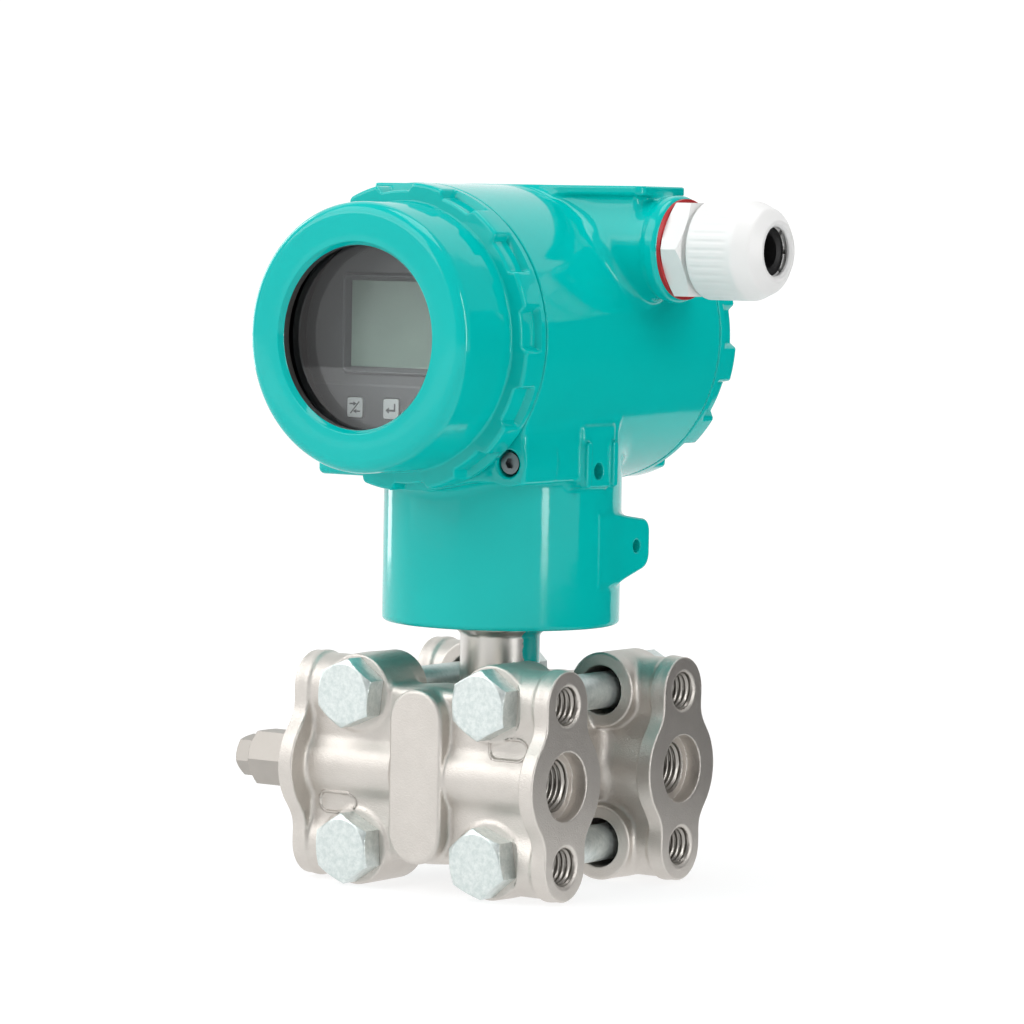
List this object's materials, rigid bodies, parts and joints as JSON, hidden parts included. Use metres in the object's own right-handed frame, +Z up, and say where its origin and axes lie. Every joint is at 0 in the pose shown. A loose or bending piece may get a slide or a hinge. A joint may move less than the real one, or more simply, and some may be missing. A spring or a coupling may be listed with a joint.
{
  "type": "differential pressure transmitter",
  "caption": "Differential pressure transmitter with a painted round housing, a display behind glass, a cable gland and stainless process flanges.",
  "frame": {"origin": "centre of the four tapped holes on the process face, level with the ports", "axes": "+X out of the process face, +Z up the stem to the housing, -Y towards the display"},
  "size_m": [0.1414, 0.1223, 0.1837],
  "materials": {
    "teal_paint": "gloss",
    "cast_stainless": "satin",
    "machined_stainless": "satin",
    "zinc_bolt": "satin",
    "white_nylon": "satin",
    "red_rubber": "satin",
    "black_rubber": "matte",
    "window": "gloss",
    "grey_plastic": "satin",
    "display_glass": "gloss",
    "light_plastic": "satin",
    "board": "satin",
    "black_plastic": "satin",
    "anodised": "satin",
    "brass_screw": "satin"
  },
  "bodies": {
    "process_side": {"high_flange": "cast_stainless", "low_flange": "cast_stainless", "flange_bolts": "zinc_bolt", "flange_nuts": "zinc_bolt", "sensor_capsule": "machined_stainless", "sensor_stem": "machined_stainless", "diaphragm_high": "machined_stainless", "diaphragm_low": "machined_stainless", "flange_seal_high": "black_rubber", "flange_seal_low": "black_rubber", "vent_body_high": "machined_stainless", "vent_body_low": "machined_stainless"},
    "vent_screw_high": {"vent_screw_high": "machined_stainless"},
    "vent_screw_low": {"vent_screw_low": "machined_stainless"},
    "housing": {"housing": "teal_paint", "display_bezel": "grey_plastic", "lcd_panel": "display_glass", "display_board": "board", "electronics_module": "black_plastic", "terminal_block": "black_plastic", "terminal_screws": "brass_screw", "cover_lock_screw": "machined_stainless", "blanking_plug": "machined_stainless", "gland_washer": "red_rubber", "gland_body": "white_nylon"},
    "key_left": {"key_left": "light_plastic"},
    "key_middle": {"key_middle": "light_plastic"},
    "key_right": {"key_right": "light_plastic"},
    "front_ring": {"front_cover_ring": "black_rubber"},
    "front_cover": {"front_cover": "teal_paint", "window_glass": "window", "window_gasket": "black_rubber", "window_retainer": "anodised"},
    "rear_ring": {"rear_cover_ring": "black_rubber"},
    "rear_cover": {"rear_cover": "teal_paint"},
    "gland_insert": {"gland_claw": "white_nylon", "gland_seal": "black_rubber"},
    "gland_nut": {"gland_nut": "white_nylon"}
  },
  "joints": [
    {"name": "housing_turn", "type": "hinge", "parent": "process_side", "child": "housing", "pos_m": [-0.04075, 0, 0.048], "axis": [0, 0, 1], "range_deg": [-180, 180]},
    {"name": "front_cover_travel", "type": "slide", "parent": "housing", "child": "front_ring", "axis": [0, -1, 0], "range_m": [0, 0.009]},
    {"name": "front_cover_screw", "type": "hinge", "parent": "front_ring", "child": "front_cover", "pos_m": [-0.04075, -0.04, 0.1137], "axis": [0, -1, 0], "range_deg": [0, 2160]},
    {"name": "rear_cover_travel", "type": "slide", "parent": "housing", "child": "rear_ring", "axis": [0, 1, 0], "range_m": [0, 0.009]},
    {"name": "rear_cover_screw", "type": "hinge", "parent": "rear_ring", "child": "rear_cover", "pos_m": [-0.04075, 0.045, 0.1137], "axis": [0, 1, 0], "range_deg": [0, 2160]},
    {"name": "gland_travel", "type": "slide", "parent": "housing", "child": "gland_insert", "axis": [1, 0, 0], "range_m": [0, 0.0045]},
    {"name": "gland_nut_screw", "type": "hinge", "parent": "gland_insert", "child": "gland_nut", "pos_m": [0.02525, 0.0088, 0.1372], "axis": [1, 0, 0], "range_deg": [0, 1080]},
    {"name": "vent_turn_high", "type": "hinge", "parent": "process_side", "child": "vent_screw_high", "pos_m": [-0.09875, -0.027, 0], "axis": [-1, 0, 0], "range_deg": [0, 180]},
    {"name": "vent_turn_low", "type": "hinge", "parent": "process_side", "child": "vent_screw_low", "pos_m": [-0.09875, 0.027, 0], "axis": [-1, 0, 0], "range_deg": [0, 180]},
    {"name": "press_key_left", "type": "slide", "parent": "housing", "child": "key_left", "axis": [0, 1, 0], "range_m": [0, 0.0005], "stiffness_N_per_m": 800, "springref_m": -0.0005},
    {"name": "press_key_middle", "type": "slide", "parent": "housing", "child": "key_middle", "axis": [0, 1, 0], "range_m": [0, 0.0005], "stiffness_N_per_m": 800, "springref_m": -0.0005},
    {"name": "press_key_right", "type": "slide", "parent": "housing", "child": "key_right", "axis": [0, 1, 0], "range_m": [0, 0.0005], "stiffness_N_per_m": 800, "springref_m": -0.0005}
  ],
  "couplings": [
    {"joint": "front_cover_travel", "follows": "front_cover_screw", "m_per_rad": 0.00023873},
    {"joint": "rear_cover_travel", "follows": "rear_cover_screw", "m_per_rad": 0.00023873},
    {"joint": "gland_travel", "follows": "gland_nut_screw", "m_per_rad": 0.00023873}
  ]
}
